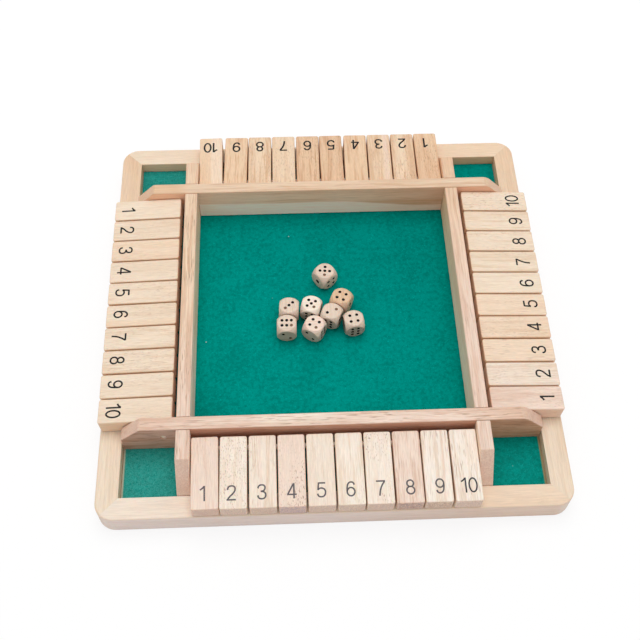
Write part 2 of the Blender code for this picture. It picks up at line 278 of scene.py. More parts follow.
# %% Wood colours
# Where on its noise a pattern sets in and where it is full.
WIDE_STEP, STREAK_STEP, THIN_STEP, DASH_STEP = (0.38, 0.70), (0.49, 0.66), (0.51, 0.68), (0.585, 0.70)
BAND_SOFT_IN, BAND_SOFT_OUT = 0.7 * MM, 0.9 * MM


def changing(tree, first, changes, along):
    """A colour that changes along the grain: (where a change starts, where it is full, new colour)."""
    for start, full, other in changes:
        first = blended(tree, stepped(tree, along, start, full), first, other)
    return first


def streaked(tree, tone, noises, streaks, broad):
    """The tone with broad shading and lines in its deeper tone."""
    shading = times(tree, stepped(tree, noises["wide"], *WIDE_STEP), broad)
    lines = times(tree, stepped(tree, noises["streak"], *STREAK_STEP), 1.45 * streaks)
    faint = times(tree, stepped(tree, noises["thin"], *THIN_STEP), 1.30 * streaks)
    share = maths(tree, "ADD", shading, maths(tree, "ADD", lines, faint), clamp=True)
    return blended(tree, share, tone, DEEPER[tone])


def striped(tree, colour, stripe, place, along, thin):
    """The colour with one wide band of another tone, a little uneven along the thin lines."""
    across, middle, reach, other, *dip = stripe
    height = place[AXES[across]]
    if dip:
        height = maths(tree, "ADD", height, stepped(tree, along, *dip))
    off = maths(tree, "ABSOLUTE", maths(tree, "SUBTRACT", height, middle))
    band = stepped(tree, off, reach - BAND_SOFT_IN, reach + BAND_SOFT_OUT, 0.85, 0.0)
    return blended(tree, times(tree, band, stepped(tree, thin, 0.2, 0.8, 0.7, 1.1)), colour, other)


def pore_dashes(tree, noises, pores):
    """Where the pores' dashes lie: in patches, which are wider where there are more pores."""
    spread = 0.12 * min(pores, 2)
    patch = stepped(tree, noises["patch"], 0.42 - spread, 0.68 - spread)
    return times(tree, stepped(tree, noises["dash"], *DASH_STEP), patch)


print("wood colours ready")


# %% Wood finish
def wood_finish(name, tone, grain, seed, streaks=0.5, pores=0.3, broad=0.5, rough=0.52, stripe=None,
                fades=(), painted_upright_shading=PAINTED_SIDE_SHADE, side_reach=0.9, end_grain=END_GRAIN, dashes=USUAL_DASHES):
    """
    Rubberwood with its own tone, grain direction, streaks and pores. stripe is one wide band of another
    tone: (axis across it, middle, half width, tone), and for a band that dips, where along the grain
    the dip starts, where it is full, 0 and its depth. fades are the tones that the wood turns into along
    the grain: (where it starts, where it is full, tone). painted_upright_shading is painted light and shade:
    the tint
    of upright faces, which can be a list: a tint, then changes in the same form. A face counts as
    upright less and less until its normal's Z is side_reach. dashes is how often pores repeat in a metre
    along the grain: few make long dark dashes, many make specks.
    """
    material, tree, shader = new_finish(name)
    coordinates = tree.nodes.new("ShaderNodeTexCoord")
    wavy, noises = wood_patterns(tree, coordinates.outputs["Object"], grain, seed, dashes)
    place = by_axis(tree, wavy)
    along = place[AXES[grain]]

    colour = streaked(tree, tone, noises, streaks, broad)
    if fades:
        turned = [(start, full, tuple(b / a for a, b in zip(tone, other))) for start, full, other in fades]
        colour = blended(tree, 1.0, colour, changing(tree, (1.0, 1.0, 1.0), turned, along), "MULTIPLY")
    if stripe:
        colour = striped(tree, colour, stripe, place, along, noises["thin"])
    fleck = pore_dashes(tree, noises, pores)
    colour = blended(tree, times(tree, fleck, 0.85 * pores, clamp=True), colour, PORE)
    colour = brightened(tree, colour, stepped(tree, noises["fibre"], 0.30, 0.72, 0.920, 1.060))

    # Painted light and shade: upright faces are multiplied by their own colour, which can change along the
    # grain.
    facing = by_axis(tree, coordinates.outputs["Normal"])
    upright = stepped(tree, maths(tree, "ABSOLUTE", facing[2]), 0.2 * side_reach, side_reach, 1.0, 0.0)
    first, *changes = painted_upright_shading if isinstance(painted_upright_shading, list) else [painted_upright_shading]
    colour = blended(tree, upright, colour, changing(tree, first, changes, along), "MULTIPLY")
    end_on = stepped(tree, maths(tree, "ABSOLUTE", facing[AXES[grain]]), 0.46, 0.865)
    ends = times(tree, end_on, stepped(tree, noises["speck"], 0.38, 0.64, 0.16, 0.94))
    colour = blended(tree, ends, colour, end_grain)
    # Rounded edges are drawn a little towards the deeper tone and made smoother.
    rim = tree.nodes.new("ShaderNodeAttribute")
    rim.attribute_name = "edge"
    deeper_edge_share = times(tree, rim.outputs["Fac"], stepped(tree, noises["streak"], 0.3, 0.7, 0.60, 0.30))
    tree.links.new(blended(tree, deeper_edge_share, colour, DEEPER[tone]), shader.inputs["Base Color"])

    dull = stepped(tree, noises["thin"], 0.3, 0.7, rough - 0.06, rough + 0.10)
    tree.links.new(maths(tree, "SUBTRACT", dull, times(tree, deeper_edge_share, 0.3)), shader.inputs["Roughness"])
    shader.inputs["Specular IOR Level"].default_value = 0.28
    shader.inputs["Subsurface Weight"].default_value = 0.25
    shader.inputs["Subsurface Radius"].default_value = (1.0, 0.45, 0.25)
    shader.inputs["Subsurface Scale"].default_value = 1.2 * MM
    lines = maths(tree, "ADD", noises["fibre"], times(tree, noises["thin"], 0.6))
    embossed(tree, shader, maths(tree, "SUBTRACT", lines, times(tree, fleck, 0.9)), 0.45, 0.08 * MM)
    return material


print("wood finish ready")

# %% [markdown]
# ## Mesh helpers
# Most pieces are a squared block with eased edges and a few holes or notches. The block starts as
# one cube, is scaled, and has its edges bevelled with bmesh. Holes are cut with the Boolean modifier
# and the result is kept as a plain mesh, so that no live modifier is left on a finished piece. Cutting
# after the bevel keeps the rounded edges clean where a notch crosses them.

# %% Mesh helpers
# Two places this near are one. A face is broad where its normal is this much along one axis.
NEAR, BROAD = 0.01 * MM, 0.985


def block(low, high):
    """A bmesh block between two opposite corners."""
    bm = bmesh.new()
    bmesh.ops.create_cube(bm, size=1)
    bmesh.ops.scale(bm, vec=Vector(high) - Vector(low), verts=bm.verts)
    bmesh.ops.translate(bm, vec=(Vector(low) + Vector(high)) / 2, verts=bm.verts)
    return bm


def ease(bm, edges, radius, segments=4):
    """Rounds edges with narrow flat facets, which keep the broad faces truly flat."""
    bmesh.ops.bevel(bm, geom=list(edges), offset=radius, offset_type="OFFSET", affect="EDGES",
                    segments=segments, profile=0.5, material=-1, clamp_overlap=True)


def sharp(bm, degrees):
    """Edges whose two faces meet at more than so many degrees."""
    return [e for e in bm.edges if e.is_manifold and e.calc_face_angle() > math.radians(degrees)]


def standing(bm, height):
    """Edges that rise more than a height."""
    return [e for e in bm.edges if abs(e.verts[0].co.z - e.verts[1].co.z) > height]


def cut_off(bm, point, away, dist=1e-7):
    """Takes off what lies beyond a plane, and closes the cut with a face."""
    cut = bmesh.ops.bisect_plane(bm, geom=bm.verts[:] + bm.edges[:] + bm.faces[:], dist=dist,
                                 plane_co=point, plane_no=away, clear_outer=True)
    bmesh.ops.holes_fill(bm, edges=[e for e in cut["geom_cut"] if isinstance(e, bmesh.types.BMEdge)])


def bar(radius, start, end, axis, centre, sides=48):
    """A bmesh cylinder from start to end along X or Y, through the centre."""
    bm = bmesh.new()
    bmesh.ops.create_cone(bm, cap_ends=True, segments=sides, radius1=radius, radius2=radius,
                          depth=end - start)
    tip = Matrix.Rotation(math.radians(90), 3, "Y" if axis == "X" else "X")
    bmesh.ops.rotate(bm, matrix=tip, verts=bm.verts)
    middle = Vector(centre)
    middle[AXES[axis]] = (start + end) / 2
    bmesh.ops.translate(bm, vec=middle, verts=bm.verts)
    return bm


def as_mesh(bm, name):
    """The bmesh as a mesh with its faces turned outwards."""
    bmesh.ops.recalc_face_normals(bm, faces=bm.faces)
    mesh = bpy.data.meshes.new(name)
    bm.to_mesh(mesh)
    bm.free()
    return mesh


def carved(mesh, cutters):
    """The mesh with each cutter mesh taken out of it."""
    blank = in_scene("blank", mesh)
    tools = [in_scene("cutter", cutter) for cutter in cutters]
    for tool in tools:
        cut = blank.modifiers.new("cut", "BOOLEAN")
        cut.operation, cut.solver, cut.object = "DIFFERENCE", "EXACT", tool
    depsgraph = bpy.context.evaluated_depsgraph_get()
    result = bpy.data.meshes.new_from_object(blank.evaluated_get(depsgraph))
    result.name = mesh.name
    for spent in (blank, *tools):
        bpy.data.objects.remove(spent)
    return result


def mark_edges(mesh):
    """Sets the attribute "edge" to 1 on narrow slanting faces and 0 on the broad ones."""
    edge = mesh.attributes.new("edge", "FLOAT", "FACE")
    for face, value in zip(mesh.polygons, edge.data):
        squareness = max(abs(v) for v in face.normal)
        value.value = 1.0 if squareness < BROAD else 0.0


def finished(name, mesh, finishes, body, replaced):
    """One finished piece: its object, its finishes, the body it rides on and what it stands for."""
    piece = in_scene(name, mesh)
    which = [face.material_index for face in mesh.polygons]
    mesh.materials.clear()
    for finish in finishes:
        mesh.materials.append(finish)
    mesh.polygons.foreach_set("material_index", which)
    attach(piece, body)
    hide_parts(*replaced)
    return piece


print("mesh helpers ready")

# %% [markdown]
# ## The frame: four mitred rails
# On the real board the rim is four rails, mitred at the corners and glued, with round outside
# corners and a rebate below that holds the base board. Each rail could be modelled by itself, but
# the round corner then has to match across two pieces. So the whole ring is shaped once, and
# bisect_plane cuts it along both diagonals, a hair apart, which leaves the fine mitre seam and lets
# the grain turn the corner as it does on the real one.

# %% Frame ring
CORNER_RADIUS, RIM_ROUND, FOOT_ROUND, INNER_ROUND = 12 * MM, 0.9 * MM, 0.4 * MM, 0.4 * MM
RAIL_WIDTH, REBATE_WIDTH = 14.4 * MM, 4 * MM
REBATE_TOP = 7.9 * MM
board_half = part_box("frame")[1].x
rail_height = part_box("frame")[1].z
opening_half = board_half - RAIL_WIDTH
rebate_half = opening_half + REBATE_WIDTH

ring = block((-board_half, -board_half, 0), (board_half, board_half, rail_height))
ease(ring, standing(ring, rail_height / 2), CORNER_RADIUS, 14)
rim = [e for e in ring.edges if all(v.co.z > rail_height - MM for v in e.verts)]
ease(ring, rim, RIM_ROUND, 4)
foot = [e for e in ring.edges if all(v.co.z < MM for v in e.verts)]
ease(ring, foot, FOOT_ROUND, 2)
well = block((-opening_half, -opening_half, -MM), (opening_half, opening_half, rail_height + MM))
rebate = block((-rebate_half, -rebate_half, -MM), (rebate_half, rebate_half, REBATE_TOP))
ring_mesh = carved(as_mesh(ring, "ring"), [as_mesh(well, "well"), as_mesh(rebate, "rebate")])
print("ring faces:", len(ring_mesh.polygons), "opening in mm:", round(2 * opening_half / MM, 1))


# %% Rails
# Half the mitre seam, and how far a corner's diagonal is turned from the way out of its rail.
SEAM, MITRE_TURN = 0.004 * MM, 135
ROWS = (("front", 0), ("right", 90), ("back", 180), ("left", 270))


def rail(turn):
    """The quarter of the ring on one side, cut by both diagonals."""
    bm = bmesh.new()
    bm.from_mesh(ring_mesh)
    out = Matrix.Rotation(math.radians(turn), 3, "Z") @ Vector((0, -1, 0))
    for side in (-1, 1):
        away = Matrix.Rotation(math.radians(turn + side * MITRE_TURN), 3, "Z") @ Vector((0, -1, 0))
        cut_off(bm, -away * SEAM, away)
    lip = [e for e in sharp(bm, 80) if all(v.co.z > rail_height - NEAR for v in e.verts)
           and all(abs(v.co.dot(out) - opening_half) < NEAR for v in e.verts)]
    ease(bm, lip, INNER_ROUND, 3)
    return bm


# Tone, grain, seed, streaks, pores, the fade and the tint of upright faces, which is painted shade.
# The front rail turns sandy to the right, the back rail darker to the right and the side rails darker
# to the back.
RAIL_PAINTED_SIDE_SHADE = (1.0, 0.92, 0.86)
RAIL_WOOD = {"front": (PEARL, "X", 11, 0.12, 0.12, (-0.02, 0.13, SAND), (0.98, 0.96, 1.04)),
             "back": (CREAM, "X", 23, 0.15, 0.08, (0.02, 0.13, HONEY), RAIL_PAINTED_SIDE_SHADE),
             "left": (CREAM, "Y", 37, 0.22, 0.12, (0.02, 0.19, AMBER), RAIL_PAINTED_SIDE_SHADE),
             "right": (CREAM, "Y", 41, 0.22, 0.08, (0.00, 0.22, AMBER), RAIL_PAINTED_SIDE_SHADE)}
for row, turn in ROWS:
    tone, grain, seed, streaks, pores, fade, tint = RAIL_WOOD[row]
    mesh = as_mesh(rail(turn), f"{row}_rail")
    mark_edges(mesh)
    finish = wood_finish(f"{row}_rail_wood", tone, grain, seed, streaks, pores, broad=0.35, fades=[fade],
                         painted_upright_shading=tint)
    finished(f"{row}_rail", mesh, [finish], "board", ["frame"])
    print(row, "rail faces:", len(mesh.polygons))

# %% [markdown]
# ## Tray walls
# Two walls run from front to back and two across, halved into each other at the tray's corners. The
# ends of the cross walls are chamfered and those of the side walls slope down to the rail. A wall's
# side view is a few points, extruded to the wall's thickness: that is quicker and cleaner than
# cutting a block at each end. Then the edges are eased, and the laps and rod holes are cut.

# %% Wall sizes
CROSS_END_RUN, CROSS_END_DROP = 13.0 * MM, 13.3 * MM
CRISP_BREAK, SOFT_BREAK = 1.2 * MM, 3.2 * MM
SIDE_END_RUN = 16.0 * MM
WALL_EASE = 0.6 * MM
LAP_HEIGHT, SEAT_GAP = 22.6 * MM, 0.3 * MM
NOTCH_TOP = 40 * MM
PIVOT_OUT, PIVOT_Z = 107.9 * MM, 25.4 * MM
HOLE_RADIUS, BLIND_DEPTH = 2.1 * MM, 6 * MM
ALONG_X = ("front", "back")
walls = {row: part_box(f"{row}_wall") for row, _ in ROWS}
wall_half = walls["front"][1].x
print("wall half length in mm:", round(wall_half / MM, 2))


# %% Wall shapes
def wall_profile(row, low, high):
    """Side view of a wall, as (distance along it, height)."""
    if row in ALONG_X:
        run, end_z = CROSS_END_RUN, high.z - CROSS_END_DROP
    else:
        run, end_z = SIDE_END_RUN, rail_height
    return [(-wall_half, low.z), (wall_half, low.z), (wall_half, end_z), (wall_half - run, high.z),
            (run - wall_half, high.z), (-wall_half, end_z)]


def wall_blank(row, low, high):
    """The wall before its notches and holes, running along X and centred on Y."""
    thickness = (high.y - low.y) if row in ALONG_X else (high.x - low.x)
    bm = bmesh.new()
    outline = [bm.verts.new((x, -thickness / 2, z)) for x, z in wall_profile(row, low, high)]
    grown = bmesh.ops.extrude_face_region(bm, geom=[bm.faces.new(outline)])
    moved = [v for v in grown["geom"] if isinstance(v, bmesh.types.BMVert)]
    bmesh.ops.translate(bm, vec=(0, thickness, 0), verts=moved)
    bmesh.ops.recalc_face_normals(bm, faces=bm.faces)
    if row in ALONG_X:
        for side, reach in ((-1, CRISP_BREAK), (1, SOFT_BREAK)):
            towards = side if row == "front" else -side
            ease(bm, [e for e in bm.edges if all(v.co.z > high.z - NEAR for v in e.verts)
                      and abs(e.verts[0].co.x - e.verts[1].co.x) < NEAR
                      and e.verts[0].co.x * towards > wall_half / 2], reach, 7)
    ease(bm, sharp(bm, 38), WALL_EASE, 3)
    return bm, thickness


def wall_cutters(row, thickness):
    """Notches for the walls that cross, and the rod holes: one through and one blind."""
    over = row in ALONG_X
    start, end = (corner[AXES["X" if over else "Y"]] for corner in walls["left" if over else "front"])
    middle, half = abs(start + end) / 2, (end - start) / 2 + SEAT_GAP
    low, high = (0.0, LAP_HEIGHT + SEAT_GAP / 2) if over else (LAP_HEIGHT - SEAT_GAP / 2, NOTCH_TOP)
    cutters = [block((s * middle - half, -thickness, low), (s * middle + half, thickness, high))
               for s in (-1, 1)]
    cutters.append(bar(HOLE_RADIUS, -thickness, thickness, "Y", (-PIVOT_OUT, 0, PIVOT_Z)))
    cutters.append(bar(HOLE_RADIUS, thickness / 2 - BLIND_DEPTH, thickness, "Y", (PIVOT_OUT, 0, PIVOT_Z)))
    return [as_mesh(bm, "wall_cutter") for bm in cutters]


print("points of a wall's side view:", len(wall_profile("front", *walls["front"])))


# %% Walls
WALL_END, WALL_DASHES = (0.640, 0.435, 0.345), 110
# Tone, grain, seed, streaks, pores, stripe, fades and the tint of its upright faces, which is painted
# light and shade. The inner face of the back wall is paler below a wavy line that dips to the right,
# and its upright faces are painted lighter, less so and redder to the right; the side walls turn
# darker to the back, and their upright faces are painted lighter. The front wall's face is painted
# in shade, redder over the tiles than in the pockets.
WALL_WOOD = {
    "front": (BLUSH, "X", 53, 1.00, 0.95, None,
              [(-0.075, -0.150, CLAY), (-0.055, -0.035, IVORY), (-0.010, 0.010, BLUSH), (0.07, 0.12, CLAY)],
              [(0.76, 0.62, 0.60), (-0.098, -0.088, (0.75, 0.50, 0.41)), (0.088, 0.098, (0.78, 0.62, 0.52))]),
    "back": (OAT, "X", 61, 0.40, 0.20, ("Z", 12.0 * MM, 13.0 * MM, IVORY, 0.01, 0.09, 0.0, 7 * MM),
             [(-0.090, -0.105, AMBER)],
             [(1.23, 1.11, 1.14), (-0.05, 0.0, (1.21, 1.05, 1.05)), (0.02, 0.07, (1.12, 0.88, 0.83))]),
    "left": (BLUSH, "Y", 67, 0.75, 0.80, None, [(-0.11, 0.04, HONEY)], (1.20, 1.17, 1.17)),
    "right": (BLUSH, "Y", 71, 0.45, 0.45, None, [(-0.06, 0.15, AMBER)], (1.18, 1.12, 1.02)),
}
for row, turn in ROWS:
    low, high = walls[row]
    bm, thickness = wall_blank(row, low, high)
    mesh = carved(as_mesh(bm, f"{row}_wall"), wall_cutters(row, thickness))
    mark_edges(mesh)
    centre = (low + high) / 2
    mesh.transform(Matrix.Translation((centre.x, centre.y, 0)) @ Matrix.Rotation(math.radians(turn), 4, "Z"))
    tone, grain, seed, streaks, pores, stripe, fades, tint = WALL_WOOD[row]
    # The upright faces of each wall get their painted light and shade here.
    finish = wood_finish(f"{row}_wall_wood", tone, grain, seed, streaks, pores, broad=0.6, stripe=stripe,
                         fades=fades, painted_upright_shading=tint, end_grain=WALL_END, dashes=WALL_DASHES)
    finished(f"{row}_tray_wall", mesh, [finish], "board", [f"{row}_wall"])
    print(row, "wall faces:", len(mesh.polygons))

# %% [markdown]
# ## Hinge rods
# Each row turns on one thin dowel, held by the wall ends. A plain cylinder would do, but the front
# left end shows in the front wall, so the ends are eased, and the grain runs along the dowel.

# %% Rods
ROD_EASE, ROD_SIDES, ROD_WOOD, ROD_SEED = 0.3 * MM, 40, MILK, 80
for i, (row, _) in enumerate(ROWS):
    low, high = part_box(f"{row}_rod")
    axis = "X" if row in ALONG_X else "Y"
    start, end = low[AXES[axis]], high[AXES[axis]]
    bm = bar((high.z - low.z) / 2, start, end, axis, (low + high) / 2, ROD_SIDES)
    ease(bm, sharp(bm, 60), ROD_EASE, 2)
    mesh = as_mesh(bm, f"{row}_dowel")
    mesh.shade_smooth()
    mesh.set_sharp_from_angle(angle=math.radians(30))
    mark_edges(mesh)
    # The dowel's sides are drawn a little darker and redder: painted shade.
    finish = wood_finish(f"{row}_dowel_wood", ROD_WOOD, axis, ROD_SEED + i, 0.3, 0.1,
                         painted_upright_shading=(1.0, 0.95, 0.92), end_grain=ROD_WOOD)
    finished(f"{row}_dowel", mesh, [finish], "board", [f"{row}_rod"])
print("rods: 4")

# %% [markdown]
# ## Digits
# The numbers are printed in dark ink, in a plain sans-serif of even stroke. Blender's own Text
# object would be simpler, but its built-in letters have a foot under the 1 and wider curves. So each
# digit is a few strokes: Bezier curves with a round bevel, made a mesh and then pressed almost flat,
# 0.03 mm proud of the tile, as thick ink lies. A digit is 10 mm high and stands on a baseline at 0.

# %% Digit strokes
def oval(x, y, wide, high, points=12):
    """A closed stroke: a ring of points round a centre."""
    return ("ring", [(x + wide * math.sin(2 * math.pi * i / points),
                      y + high * math.cos(2 * math.pi * i / points)) for i in range(points)])


SIX = [oval(0.05, 3.2, 2.35, 2.63),
       ("bow", [(-2.30, 3.3), (-2.18, 6.0), (-1.45, 8.5), (0.25, 9.43), (1.65, 8.9), (2.2, 7.55)])]
STROKES = {
    "0": [oval(0, 5, 2.38, 4.43)],
    "1": [("line", [(0.95, 0.15), (0.95, 9.85)]),
          ("bow", [(-1.75, 7.35), (-0.75, 7.95), (0.15, 8.75), (0.85, 9.65)])],
    "2": [("bow", [(-2.35, 6.9), (-1.75, 8.75), (0.05, 9.43), (1.95, 8.75), (2.3, 6.95), (1.2, 4.7),
                   (-1.0, 2.5), (-2.3, 0.6)]),
          ("line", [(-2.85, 0.57), (2.8, 0.57)])],
    "3": [("bow", [(-2.3, 7.3), (-1.7, 8.9), (0, 9.43), (1.65, 8.85), (2.0, 7.4), (1.3, 5.85),
                   (-0.6, 5.3)]),
          ("bow", [(-0.6, 5.3), (1.65, 4.7), (2.4, 2.9), (1.75, 1.15), (0, 0.57), (-1.8, 1.15),
                   (-2.45, 2.8)])],
    "4": [("line", [(1.3, 0.15), (1.3, 9.85)]), ("line", [(-2.95, 2.75), (2.95, 2.75)]),
          ("line", [(-2.6, 2.75), (1.15, 9.75)])],
    "5": [("line", [(-1.85, 9.43), (2.4, 9.43)]), ("line", [(-1.65, 9.7), (-2.1, 4.95)]),
          ("bow", [(-2.1, 5.05), (-1.0, 6.0), (0.45, 6.1), (2.0, 5.15), (2.4, 3.2), (1.7, 1.3),
                   (-0.1, 0.57), (-1.85, 1.15), (-2.45, 2.6)])],
    "6": SIX,
    "7": [("line", [(-2.75, 9.43), (2.85, 9.43)]),
          ("bow", [(2.55, 9.3), (0.9, 6.7), (-0.35, 3.5), (-0.85, 0)])],
    "8": [oval(0, 7.35, 2.0, 2.08), oval(0, 2.95, 2.38, 2.38)],
    "9": [(kind, [(-x, 10 - y) for x, y in points]) for kind, points in SIX],
}
print("digits with strokes:", len(STROKES))


# %% Digit meshes
# Both in mm, as the strokes are: how proud the ink is, and where the two digits of 10 stand.
INK_HEIGHT = 0.03
TEN = (("1", -3.25), ("0", 2.2))


def number_mesh(number, stroke_width):
    """A number as a flat mesh on the XY plane, its baseline at y 0, in metres."""
    line = bpy.data.curves.new("number", "CURVE")
    line.dimensions, line.twist_mode = "3D", "Z_UP"
    line.bevel_depth, line.bevel_resolution = stroke_width / 2, 1
    line.use_fill_caps, line.resolution_u = True, 3
    placed = TEN if number == 10 else ((str(number), 0.0),)
    for digit, shift in placed:
        for kind, points in STROKES[digit]:
            stroke = line.splines.new("BEZIER")
            stroke.bezier_points.add(len(points) - 1)
            stroke.use_cyclic_u = kind == "ring"
            for knot, (x, y) in zip(stroke.bezier_points, points):
                knot.co = (x + shift, y, 0)
                knot.handle_left_type = knot.handle_right_type = "VECTOR" if kind == "line" else "AUTO"
    drawn = in_scene("number", line)
    mesh = bpy.data.meshes.new_from_object(drawn.evaluated_get(bpy.context.evaluated_depsgraph_get()))
    bpy.data.objects.remove(drawn)
    mesh.transform(Matrix.Diagonal((MM, MM, MM * 2 * INK_HEIGHT / stroke_width, 1)))
    return mesh


def matt_finish(name, colour, paler, most, detail, repeats, rough, shine):
    """Ink or paint that turns paler in small patches, by a share of most, and is matt."""
    material, tree, shader = new_finish(name)
    uneven = noise(tree, object_place(tree), detail, 0.6, scale=repeats)
    share = stepped(tree, uneven, 0.45, 0.80, 0.0, most)
    tree.links.new(blended(tree, share, colour, paler), shader.inputs["Base Color"])
    tree.links.new(stepped(tree, uneven, 0.3, 0.7, rough, rough + 0.20), shader.inputs["Roughness"])
    shader.inputs["Specular IOR Level"].default_value = shine
    return material


def ink_finish(name, colour):
    """Printing ink, a little uneven where the wood's pores drink it."""
    paler = tuple(c * 2.2 + 0.03 for c in colour)
    return matt_finish(name, colour, paler, 0.7, 3.0, 1800, 0.55, 0.25)


dark_ink = ink_finish("dark_ink", (0.010, 0.007, 0.006))
faded_ink = ink_finish("faded_ink", (0.110, 0.095, 0.100))
half_faded_ink = ink_finish("half_faded_ink", (0.045, 0.040, 0.042))
print("number 8 faces:", len(number_mesh(8, 1.1).polygons))

# %% [markdown]
# ## Number tiles
# A tile is a small board with rounded edges, bored through near its inner end for the rod. All forty
# are the same shape, so one blank is made and copied, and each copy gets its number, is turned to its
# row and set where its CAD node is. The rod is higher than the tiles' free ends, which rest on the
# rail, so they slope down a little. Tiles have play on the rod, so each one is a fraction of a degree
# askew too, as on the real board.

# %% Tile blank
CORNER_ROUND, TILE_ROUND = 1.4 * MM, 0.6 * MM
TILE_LENGTH, TILE_THICKNESS, TILE_SLOPE = 47.6 * MM, 11.8 * MM, math.radians(2.75)
PIVOT_INSET, PIVOT_HEIGHT, BORE_REACH = 5.7 * MM, 6.3 * MM, 20 * MM
tile_low, tile_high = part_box("front_tile_1")
tile_size = Vector((tile_high.x - tile_low.x, TILE_LENGTH, TILE_THICKNESS))
half = tile_size / 2
pivot = Vector((0, half.y - PIVOT_INSET, PIVOT_HEIGHT - half.z))

bm = block(-half, half)
ease(bm, standing(bm, half.z), CORNER_ROUND, 6)
ease(bm, sharp(bm, 60), TILE_ROUND, 3)
bore = bar(HOLE_RADIUS, -BORE_REACH, BORE_REACH, "X", pivot)
tile_blank = carved(as_mesh(bm, "tile"), [as_mesh(bore, "bore")])
mark_edges(tile_blank)
print("tile in mm:", [round(v / MM, 1) for v in tile_size], "faces:", len(tile_blank.polygons))


# %% Tile woods
# Tone, streaks, pores and broad shading of tiles 1 to 10 in each row.
TILE_WOOD = {
    "front": ((BLUSH, 0.32, 0.45, 0.1), (IVORY, 0.30, 0.70, 0.4), (PEARL, 0.65, 0.35, 0.1),
              (BLUSH, 0.10, 1.05, 0.0), (PEARL, 0.25, 0.35, 0.1), (IVORY, 0.50, 0.40, 0.4),
              (IVORY, 0.40, 0.90, 0.4), (BLUSH, 0.60, 0.55, 0.0), (MILK, 0.55, 0.55, 0.2),
              (MILK, 0.60, 0.75, 0.0)),
    "right": ((BLUSH, 0.30, 0.40, 0.3), (PEARL, 0.45, 0.50, 0.4), (SAND, 0.35, 0.55, 0.0),
              (SAND, 0.50, 0.50, 0.3), (SAND, 0.30, 0.30, 0.1), (CREAM, 0.20, 0.20, 0.3),
              (CREAM, 0.45, 0.40, 0.5), (CREAM, 0.35, 0.50, 0.4), (CREAM, 0.50, 0.30, 0.5),
              (CREAM, 0.20, 0.50, 0.2)),
    "back": ((PEACH, 0.45, 0.65, 0.5), (HONEY, 0.75, 0.55, 0.9), (HONEY, 0.40, 0.40, 0.4),
             (PEACH, 0.40, 0.30, 0.3), (AMBER, 0.60, 0.60, 0.8), (AMBER, 0.50, 0.70, 0.6),
             (HONEY, 0.25, 0.50, 0.3), (HONEY, 0.70, 0.80, 0.7), (PEACH, 0.60, 0.50, 0.2),
             (SAND, 0.45, 0.30, 0.5)),
    "left": ((CREAM, 0.20, 0.10, 0.2), (CREAM, 0.30, 0.20, 0.6), (SAND, 0.35, 0.30, 0.3),
             (CREAM, 0.25, 0.30, 0.3), (CREAM, 0.40, 0.35, 0.2), (CREAM, 0.30, 0.30, 0.4),
             (CREAM, 0.40, 0.40, 0.3), (CREAM, 0.55, 0.45, 0.3), (CREAM, 0.30, 0.35, 0.3),
             (CREAM, 0.18, 0.20, 0.2)),
}
# Tiles with specks or long dark lines in place of the usual pores: repeats in a metre.
DASHES = {"front_tile_2": 520, "front_tile_4": 560, "front_tile_7": 520, "front_tile_8": 90,
          "front_tile_9": 70, "front_tile_10": 80, "right_tile_3": 120, "back_tile_9": 110}
# Wide stripes: middle and half width in mm from the tile's middle, along the row, and the tone.
STRIPES = {"back_tile_10": (3.4, 6.0, PEACH), "back_tile_9": (7.6, 1.0, AMBER),
           "back_tile_5": (-5.2, 2.2, AMBER), "back_tile_3": (-7.0, 1.5, ROSE),
           "front_tile_9": (6.0, 0.5, ROSE), "left_tile_3": (-7.0, 2.0, HONEY),
           "left_tile_6": (5.0, 3.5, HONEY), "right_tile_4": (-7.2, 1.4, AMBER),
           "front_tile_3": (0.5, 0.8, BLUSH)}
# How far each tile is turned askew on its rod, in degrees.
ASKEW = {"front": (0.9, -0.1, 0.2, 0.0, 0.2, 0.3, -0.1, 0.1, -0.2, 0.1),
         "right": (0.1, -0.1, 0.1, 0.2, -0.2, 0.1, 0.0, 0.1, -0.1, 0.1),
         "back": (-0.1, -0.5, -0.7, -0.9, 0.3, -0.6, -0.3, -0.6, -1.2, 0.9),
         "left": (-0.1, 0.1, 0.0, 0.1, -0.2, 0.2, 0.0, -0.1, 0.1, -0.1)}
# How far each printed number sits from the tile's middle, how far its foot is from the tile's end, and
# how wide its strokes are, in mm.
OFF_MIDDLE = {"front": (-1.0, -1.1, -0.7, -0.3, -0.3, -0.4, 0.2, 0.3, 0.7, 0.6),
              "right": (0, 0, 0, 0, 0.5, -0.6, -0.6, -0.5, -0.3, 0.2),
              "back": (0.0, -0.1, -0.1, -0.1, -0.4, 0.0, 0.0, 0.0, 0.0, 0.4),
              "left": (-0.4, -0.4, -0.4, -0.9, -0.6, -1.2, -1.1, -1.2, -1.3, 0)}
NUMBER_FROM_END = {"front": 5.35, "right": 5.35, "back": 5.0, "left": 4.75}
STROKE_WIDTH = {"front": 0.98, "right": 1.18, "back": 1.32, "left": 1.18}
# End grain of the tiles whose free ends are darker than the rest.
TILE_END = {"front_tile_4": (0.470, 0.360, 0.410), "front_tile_8": (0.340, 0.220, 0.220),
            "front_tile_9": (0.500, 0.330, 0.250)}
print("tile woods:", sum(len(w) for w in TILE_WOOD.values()))


# %% Tiles
TILE_SEED, SKEW_GAP = 100, 0.02 * MM


def numbered_tile(number, row):
    """The blank with its number lying on top: faces of the number take the second finish."""
    bm = bmesh.new()
    bm.from_mesh(tile_blank)
    wood_faces = len(bm.faces)
    digits = number_mesh(number, STROKE_WIDTH[row])
    digits.transform(Matrix.Translation((OFF_MIDDLE[row][number - 1] * MM,
                                         NUMBER_FROM_END[row] * MM - half.y, half.z)))
    bm.from_mesh(digits)
    bm.faces.ensure_lookup_table()
    for face in bm.faces[wood_faces:]:
        face.material_index = 1
    mesh = bpy.data.meshes.new("tile")
    bm.to_mesh(mesh)
    bm.free()
    return mesh


